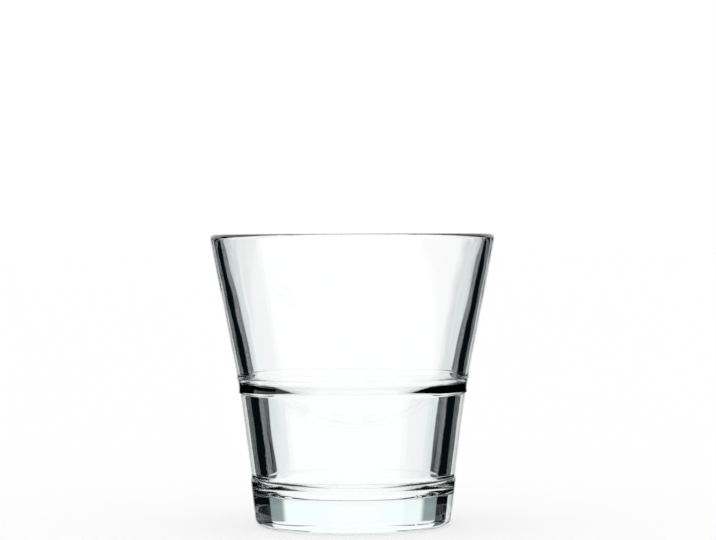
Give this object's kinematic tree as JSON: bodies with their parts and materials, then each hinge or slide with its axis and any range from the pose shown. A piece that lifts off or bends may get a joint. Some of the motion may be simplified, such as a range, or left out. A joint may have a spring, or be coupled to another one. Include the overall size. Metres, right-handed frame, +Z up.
{
  "type": "tumbler",
  "caption": "Clear pressed-glass stacking tumbler with a flared upper wall, a raised band outside over a soft shoulder inside, a round well and a thick solid foot.",
  "frame": {"origin": "centre of the foot ring, on the surface that the tumbler stands on", "axes": "+Z up along the axis of revolution, out of the mouth; X and Y are free, because the tumbler is round"},
  "size_m": [0.088, 0.088, 0.09],
  "materials": {
    "clear_glass": "clear soda-lime glass, fire-polished, with a faint green cast"
  },
  "bodies": {
    "root": {"glass_tumbler": "clear_glass"}
  },
  "joints": []
}
